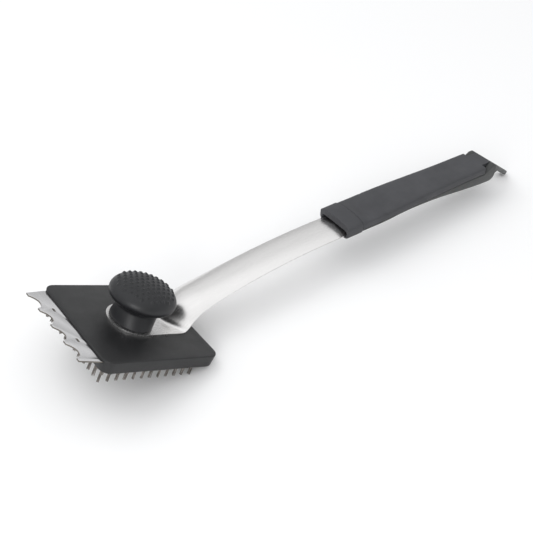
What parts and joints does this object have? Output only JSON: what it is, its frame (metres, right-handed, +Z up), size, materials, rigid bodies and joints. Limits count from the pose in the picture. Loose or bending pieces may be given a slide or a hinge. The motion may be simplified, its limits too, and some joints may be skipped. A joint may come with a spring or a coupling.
{
  "type": "grill cleaning brush",
  "caption": "Long-handled grill brush: wire bristles under a square plastic head, toothed steel scraper in front, palm knob above, arched steel arm and a moulded grip with a hang loop.",
  "frame": {"origin": "On the surface that the brush lies on, below the centre of its bounding box. The brush lies as it rests on a table, on the tips of its rear bristles and on the tip of its hang loop.", "axes": "+X runs from the scraper to the hang loop, +Y across the head, +Z up. The head's own plane is turned about Y by the resting tilt, 28 degrees."},
  "size_m": [0.4738, 0.099, 0.0698],
  "materials": {
    "head_plastic": "satin moulded charcoal plastic",
    "sheet_steel": "brushed stainless sheet",
    "bristle_wire": "drawn flat steel wire",
    "screw_steel": "zinc plated steel",
    "core_plastic": "hard moulded plastic",
    "knob_rubber": "soft-touch rubber with raised pips",
    "insert_brass": "turned brass",
    "soft_grip": "matte soft-touch overmould",
    "grip_plastic": "matte moulded plastic"
  },
  "bodies": {
    "root": {"head_block": "head_plastic", "scraper_plate": "sheet_steel", "scraper_screws": "screw_steel", "bristle_row_01": "bristle_wire", "bristle_row_02": "bristle_wire", "bristle_row_03": "bristle_wire", "bristle_row_04": "bristle_wire", "bristle_row_05": "bristle_wire", "bristle_row_06": "bristle_wire", "bristle_row_07": "bristle_wire", "bristle_row_08": "bristle_wire", "bristle_row_09": "bristle_wire", "bristle_row_10": "bristle_wire", "bristle_row_11": "bristle_wire", "bristle_row_12": "bristle_wire", "bristle_anchors": "screw_steel", "arm": "sheet_steel", "arm_screws": "screw_steel", "knob_core": "core_plastic", "knob_cover": "knob_rubber", "knob_insert": "insert_brass", "knob_screw": "screw_steel", "knob_washer": "screw_steel", "grip_collar": "soft_grip", "grip_body": "grip_plastic", "grip_cover": "soft_grip", "tang_screws": "screw_steel", "tang_nuts": "screw_steel"}
  },
  "joints": []
}
